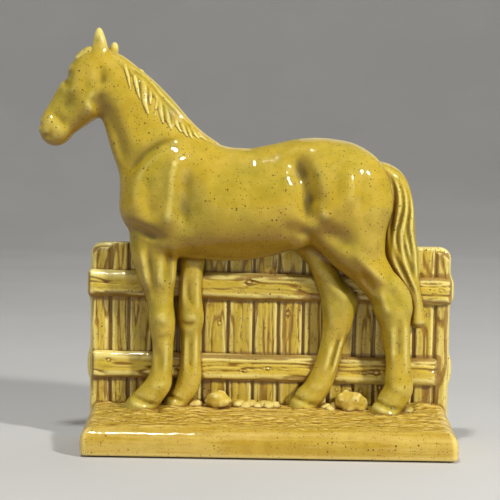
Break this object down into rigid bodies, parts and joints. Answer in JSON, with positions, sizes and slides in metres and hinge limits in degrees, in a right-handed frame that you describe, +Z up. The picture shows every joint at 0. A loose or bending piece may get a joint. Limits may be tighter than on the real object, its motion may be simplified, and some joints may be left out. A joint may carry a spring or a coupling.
{
  "type": "book end",
  "caption": "Glazed ceramic figural book end: a horse standing in front of a plank fence with two rails, on a rounded plinth with grassy ground, flat back for books.",
  "frame": {"origin": "centre of the felt underside of the base", "axes": "+Z up, -Y towards the horse and the rounded lip (front), +Y out of the flat back that books lean on, +X towards the tail"},
  "size_m": [0.2497, 0.076, 0.2481],
  "materials": {
    "glaze": "glossy mustard-yellow glaze with brown speckles",
    "felt": "thin green felt"
  },
  "bodies": {
    "root": {"base_felt": "felt", "ear_far": "glaze", "ear_near": "glaze", "fence_panel": "glaze", "fence_plank_01": "glaze", "fence_plank_02": "glaze", "fence_plank_03": "glaze", "fence_plank_04": "glaze", "fence_plank_05": "glaze", "fence_plank_06": "glaze", "fence_plank_07": "glaze", "fence_plank_08": "glaze", "fence_plank_09": "glaze", "fence_plank_10": "glaze", "fence_plank_11": "glaze", "fence_plank_12": "glaze", "fence_plank_13": "glaze", "fence_plank_14": "glaze", "fence_plank_15": "glaze", "fence_plank_16": "glaze", "foreleg_far": "glaze", "foreleg_near": "glaze", "ground": "glaze", "hindleg_far": "glaze", "hindleg_near": "glaze", "hoof_fore_far": "glaze", "hoof_fore_near": "glaze", "hoof_hind_far": "glaze", "hoof_hind_near": "glaze", "horse_head": "glaze", "horse_neck": "glaze", "horse_torso": "glaze", "mane": "glaze", "pebbles": "glaze", "plinth": "glaze", "rail_bottom": "glaze", "rail_top": "glaze", "rock_left": "glaze", "rock_right": "glaze", "sheath": "glaze", "tail": "glaze"}
  },
  "joints": []
}
